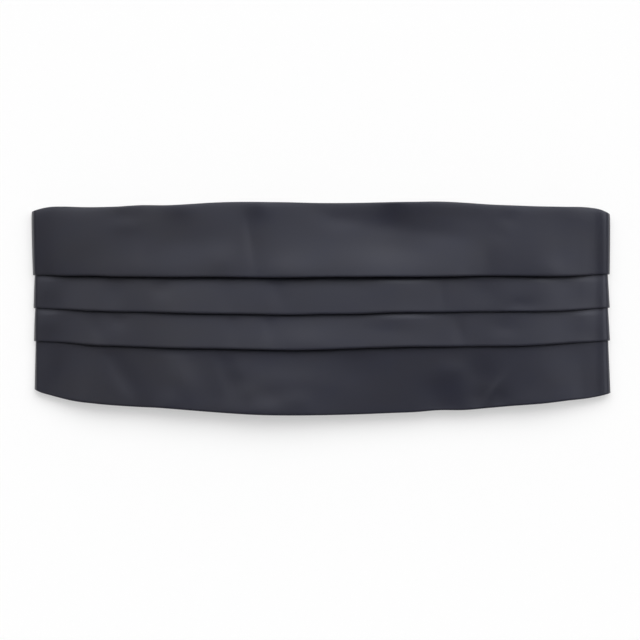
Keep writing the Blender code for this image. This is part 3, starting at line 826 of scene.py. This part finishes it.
# Scales are in features for each metre along the cloth, across it and out of it, or along X, Y and Z.
# The satin drifts from a warmer to a cooler cast between two places along the band.
SATIN_WARM = (0.0218, 0.0213, 0.0271)
SATIN_COOL = (0.0184, 0.0195, 0.0326)
SATIN_TONE_SCALE = (28.0, 45.0, 1.0)
SATIN_DRIFT = (-0.3, 0.03)
SATIN_DRIFT_BETWEEN = (-110.0 * MM, -10.0 * MM)
SATIN_FLOAT_SCALE = (700.0, 6000.0, 1.0)
SATIN_GLOSS = (0.31, 0.38)
SATIN_TINT = (0.86, 0.89, 1.0)
LINING_DARK, LINING_PALE = (0.019, 0.019, 0.023), (0.026, 0.026, 0.031)
LINING_TONE_SCALE = (90.0, 90.0, 1.0)
LINING_WEAVE_SCALE = (2500.0, 2500.0, 1.0)
ELASTIC_DARK, ELASTIC_PALE = (0.013, 0.013, 0.015), (0.024, 0.024, 0.027)
ELASTIC_YARN_SCALE = (2200.0, 700.0, 1.0)
THREAD_DARK, THREAD_PALE = (0.014, 0.014, 0.017), (0.032, 0.032, 0.037)
THREAD_TWIST_SCALE = (3000.0, 3000.0, 3000.0)
STEEL_DARK, STEEL_PALE = (0.36, 0.36, 0.38), (0.48, 0.48, 0.5)
STEEL_BRUSH_SCALE = (9000.0, 300.0, 9000.0)
STEEL_GLOSS = (0.22, 0.4)


def new_material(name):
    """A material with one Principled shader: the material, its nodes, its links and that shader."""
    material = bpy.data.materials.new(name)
    material.use_nodes = True
    tree = material.node_tree
    return material, tree.nodes, tree.links, tree.nodes["Principled BSDF"]


def set_values(node, **values):
    """Sets values on a node's inputs, which are named with underscores for spaces."""
    for key, value in values.items():
        node.inputs[key.replace("_", " ")].default_value = value


def add_node(nodes, kind, **values):
    """A node with values set on its inputs."""
    node = nodes.new(kind)
    set_values(node, **values)
    return node


def scaled(nodes, links, place, scale):
    """A place times a scale for each direction."""
    mapping = add_node(nodes, "ShaderNodeMapping", Scale=scale)
    links.new(place, mapping.inputs["Vector"])
    return mapping.outputs["Vector"]


def cloth_place(nodes):
    """The place on the flat cloth, in metres: along the band, and across it."""
    place = nodes.new("ShaderNodeUVMap")
    place.uv_map = "cloth"
    return place.outputs["UV"]


def object_place(nodes):
    """The place on the object, in metres."""
    return nodes.new("ShaderNodeTexCoord").outputs["Object"]


def noise(nodes, links, place, scale, detail, roughness=0.5):
    """Soft noise over a place times a scale."""
    texture = add_node(nodes, "ShaderNodeTexNoise", Scale=1.0, Detail=detail, Roughness=roughness)
    links.new(scaled(nodes, links, place, scale), texture.inputs["Vector"])
    return texture.outputs["Fac"]


def map_range(nodes, links, value, between, to, kind="LINEAR"):
    """A value from between two limits, mapped to between two others."""
    mapped = add_node(nodes, "ShaderNodeMapRange", From_Min=between[0], From_Max=between[1], To_Min=to[0],
                      To_Max=to[1])
    mapped.interpolation_type = kind
    links.new(value, mapped.inputs["Value"])
    return mapped.outputs["Result"]


def total(nodes, links, first, second):
    """The sum of two values, kept between 0 and 1."""
    add = nodes.new("ShaderNodeMath")
    add.use_clamp = True
    links.new(first, add.inputs[0])
    links.new(second, add.inputs[1])
    return add.outputs[0]


def two_tone(nodes, links, shader, factor, first, second):
    """Colours a shader with a mix of two colours by a factor."""
    mix = nodes.new("ShaderNodeMix")
    mix.data_type = "RGBA"
    colours = [socket for socket in mix.inputs if socket.type == "RGBA"]
    colours[0].default_value = (*first, 1.0)
    colours[1].default_value = (*second, 1.0)
    links.new(factor, mix.inputs["Factor"])
    mixed = next(socket for socket in mix.outputs if socket.type == "RGBA")
    links.new(mixed, shader.inputs["Base Color"])


def fine_relief(nodes, links, shader, height, strength, depth):
    """Gives a shader fine relief, so deep between heights of 0 and 1."""
    bump = add_node(nodes, "ShaderNodeBump", Strength=strength, Distance=depth)
    links.new(height, bump.inputs["Height"])
    links.new(bump.outputs["Normal"], shader.inputs["Normal"])


def satin_material():
    """Charcoal satin: fine floats along the band, soft changes of tone, and a broad cool sheen."""
    material, nodes, links, shader = new_material("satin")
    place = cloth_place(nodes)
    parts = nodes.new("ShaderNodeSeparateXYZ")
    links.new(place, parts.inputs["Vector"])
    tone = noise(nodes, links, place, SATIN_TONE_SCALE, detail=3.0)
    drift = map_range(nodes, links, parts.outputs["X"], SATIN_DRIFT_BETWEEN, SATIN_DRIFT)
    two_tone(nodes, links, shader, total(nodes, links, tone, drift), SATIN_WARM, SATIN_COOL)
    floats = noise(nodes, links, place, SATIN_FLOAT_SCALE, detail=2.0, roughness=0.6)
    fine_relief(nodes, links, shader, floats, strength=0.12, depth=0.05 * MM)
    links.new(map_range(nodes, links, floats, (0.3, 0.7), SATIN_GLOSS), shader.inputs["Roughness"])
    set_values(shader, Specular_IOR_Level=0.36, Specular_Tint=(*SATIN_TINT, 1.0), Sheen_Weight=0.03,
               Sheen_Roughness=0.4)
    return material


def plain_cloth_material():
    """Near-black plain-woven lining."""
    material, nodes, links, shader = new_material("backing_cloth")
    place = cloth_place(nodes)
    tone = noise(nodes, links, place, LINING_TONE_SCALE, detail=4.0)
    two_tone(nodes, links, shader, tone, LINING_DARK, LINING_PALE)
    weave = add_node(nodes, "ShaderNodeTexChecker", Scale=1.0)
    links.new(scaled(nodes, links, place, LINING_WEAVE_SCALE), weave.inputs["Vector"])
    fine_relief(nodes, links, shader, weave.outputs["Fac"], strength=0.2, depth=0.05 * MM)
    set_values(shader, Roughness=0.7, Sheen_Weight=0.1)
    return material


def elastic_material():
    """Black elastic tape with short cross yarns between its ribs."""
    material, nodes, links, shader = new_material("strap_tape")
    yarns = noise(nodes, links, cloth_place(nodes), ELASTIC_YARN_SCALE, detail=2.0)
    two_tone(nodes, links, shader, yarns, ELASTIC_DARK, ELASTIC_PALE)
    fine_relief(nodes, links, shader, yarns, strength=0.4, depth=0.1 * MM)
    set_values(shader, Roughness=0.8, Sheen_Weight=0.15)
    return material


def thread_material():
    """Black polyester thread with a fine twist."""
    material, nodes, links, shader = new_material("thread")
    twist = noise(nodes, links, object_place(nodes), THREAD_TWIST_SCALE, detail=2.0)
    two_tone(nodes, links, shader, twist, THREAD_DARK, THREAD_PALE)
    set_values(shader, Roughness=0.5, Sheen_Weight=0.1)
    return material


def metal_material():
    """Brushed steel with fine lines along the bars."""
    material, nodes, links, shader = new_material("buckle_metal")
    lines = noise(nodes, links, object_place(nodes), STEEL_BRUSH_SCALE, detail=3.0)
    two_tone(nodes, links, shader, lines, STEEL_DARK, STEEL_PALE)
    links.new(map_range(nodes, links, lines, (0.0, 1.0), STEEL_GLOSS), shader.inputs["Roughness"])
    set_values(shader, Metallic=1.0)
    return material


satin = satin_material()
plain_cloth = plain_cloth_material()
elastic = elastic_material()
thread = thread_material()
metal = metal_material()

# ------- the band -------

places_along = stations()
for node, upper_name, lower_name in PLEATS:
    sections = pleat_sections(places_along, upper_name, lower_name, SOFT_FORMS[node])
    pleat = sheet_piece(node + "_satin", sections, places_along, CLOTH, satin)
    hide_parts(node)
    turned = math.pi * FOLD_RADIUS + (HEM if lower_name == "bottom" else OVERLAP)
    tucked_in = math.pi * FOLD_RADIUS + HEM if upper_name == "top" else OVERLAP
    flat, area = cut_size(upper_name, lower_name, turned + tucked_in)
    rows = pleat_topstitch(upper_name, lower_name, SOFT_FORMS[node])
    stitches = stitch_piece(node + "_topstitch", *rows, DOWN, thread)

backing = sheet_piece("backing_lining", backing_sections(places_along), places_along, BACKING_CLOTH,
                      plain_cloth)
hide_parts("backing")
flat, area = cut_size("top", "bottom", -2 * BACKING_INSET)
end_stitches = stitch_piece("backing_topstitch", *backing_topstitch(), UP, thread)
slip_rows = joined([slip_stitches("top", "fold_1", "top", -1),
                    slip_stitches("fold_3", "bottom", "bottom", 1)])
edge_stitches = stitch_piece("backing_slip_stitches", *slip_rows, DOWN, thread)

tail_x = long_strap_path()[-1][0] + TAIL_ROW_INSET
lap_x = short_strap_path()[-1][0]
half_strap = STRAP_THICKNESS / 2
strap_rows = {
    "strap_long": ((tail_x, TAIL_Z - half_strap, DOWN), (tail_x, TAIL_Z + half_strap, UP)),
    "strap_short": tuple((lap_x + inset, level, out) for inset in LAP_ROW_INSETS
                         for level, out in ((LAP_Z - half_strap, DOWN), (STRAP_Z + half_strap, UP))),
}
for node, path in (("strap_long", long_strap_path()), ("strap_short", short_strap_path())):
    strap, strap_length = strap_piece(node + "_elastic", path, elastic)
    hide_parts(node)
    rows = [stitch_piece("%s_row_%d" % (node, number), *strap_row(x, z), out, thread)
            for number, (x, z, out) in enumerate(strap_rows[node], 1)]

buckle = buckle_piece(metal)
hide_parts("buckle")

# ------- floor, light and camera -------

# The floor is a large white square: half of its white is lit, and the rest shows as it is
FLOOR_HALF = 20.0
FLOOR_DIFFUSE = 0.5
FLOOR_WHITE = 0.49

# The world is white low down, and fades between two heights (as sines) to a dim light from above
SWEEP_TOP = (0.12, 0.3)
AMBIENT = 0.06

# The lamps: (azimuth from +Y toward +X in degrees, share of the strength) of each, and their elevation and
# how wide each looks, in degrees
KEYS = ((-42.0, 0.7), (5.0, 1.0), (52.0, 1.3))
KEY_ELEVATION = 44.0
KEY_ANGLE = 52.0
KEY_STRENGTH = 1.36

# The camera, and how wide its picture is at the level of most of the front
CAMERA_AT = Vector((-0.24 * MM, -7.26 * MM, 1.61))
FRAME_WIDTH = 387.2 * MM
FRAME_AT_Z = 10.0 * MM


def seen_directly(nodes, links):
    """1 for camera, glossy and transmission rays, and 0 for the rest."""
    rays = nodes.new("ShaderNodeLightPath").outputs
    reflected = total(nodes, links, rays["Is Glossy Ray"], rays["Is Transmission Ray"])
    return total(nodes, links, rays["Is Camera Ray"], reflected)


def make_floor():
    """A white surface that keeps the band's shadow."""
    mesh = bpy.data.meshes.new("floor")
    corners = [(-1, -1), (1, -1), (1, 1), (-1, 1)]
    mesh.from_pydata([(x * FLOOR_HALF, y * FLOOR_HALF, 0.0) for x, y in corners], [], [(0, 1, 2, 3)])
    floor = linked_object("floor", mesh)
    material, nodes, links, _ = new_material("floor")
    nodes.clear()
    lit = add_node(nodes, "ShaderNodeBsdfDiffuse", Color=(FLOOR_DIFFUSE, FLOOR_DIFFUSE, FLOOR_DIFFUSE, 1.0))
    white = add_node(nodes, "ShaderNodeEmission")
    strength = nodes.new("ShaderNodeMath")
    strength.operation = "MULTIPLY"
    strength.inputs[1].default_value = FLOOR_WHITE
    links.new(seen_directly(nodes, links), strength.inputs[0])
    links.new(strength.outputs[0], white.inputs["Strength"])
    both = nodes.new("ShaderNodeAddShader")
    links.new(lit.outputs[0], both.inputs[0])
    links.new(white.outputs[0], both.inputs[1])
    output = nodes.new("ShaderNodeOutputMaterial")
    links.new(both.outputs[0], output.inputs["Surface"])
    mesh.materials.append(material)


def make_world():
    """A white sweep all round, up to a low height, and dimmer light from above it."""
    world = bpy.data.worlds.new("studio")
    bpy.context.scene.world = world
    world.use_nodes = True
    nodes, links = world.node_tree.nodes, world.node_tree.links
    background = nodes["Background"]
    background.inputs["Color"].default_value = (1.0, 1.0, 1.0, 1.0)
    direction = nodes.new("ShaderNodeTexCoord")
    parts = nodes.new("ShaderNodeSeparateXYZ")
    links.new(direction.outputs["Generated"], parts.inputs["Vector"])
    strength = map_range(nodes, links, parts.outputs["Z"], SWEEP_TOP, (1.0, AMBIENT), "SMOOTHSTEP")
    links.new(strength, background.inputs["Strength"])


def make_key(name, azimuth, share):
    """One of the broad lamps that stand beyond the band's top edge, with its share of their strength."""
    lamp = bpy.data.lights.new(name, "SUN")
    lamp.energy = KEY_STRENGTH * share
    lamp.angle = math.radians(KEY_ANGLE)
    light = linked_object(name, lamp)
    level = math.cos(math.radians(KEY_ELEVATION))
    toward = Vector((level * math.sin(math.radians(azimuth)), level * math.cos(math.radians(azimuth)),
                     math.sin(math.radians(KEY_ELEVATION))))
    light.location = toward
    light.rotation_mode = "QUATERNION"
    light.rotation_quaternion = toward.to_track_quat("Z", "Y")


def make_camera():
    """Straight above the band, with the band's top edge upward in the picture."""
    data = bpy.data.cameras.new("camera")
    camera = linked_object("camera", data)
    camera.location = CAMERA_AT
    data.sensor_width = 36.0
    data.lens = data.sensor_width * (CAMERA_AT.z - FRAME_AT_Z) / FRAME_WIDTH
    data.clip_start = 0.1
    data.clip_end = 100.0
    bpy.context.scene.camera = camera


make_floor()
make_world()
for number, (azimuth, share) in enumerate(KEYS, 1):
    make_key("key_%d" % number, azimuth, share)
make_camera()
bpy.context.scene.view_settings.view_transform = "Standard"
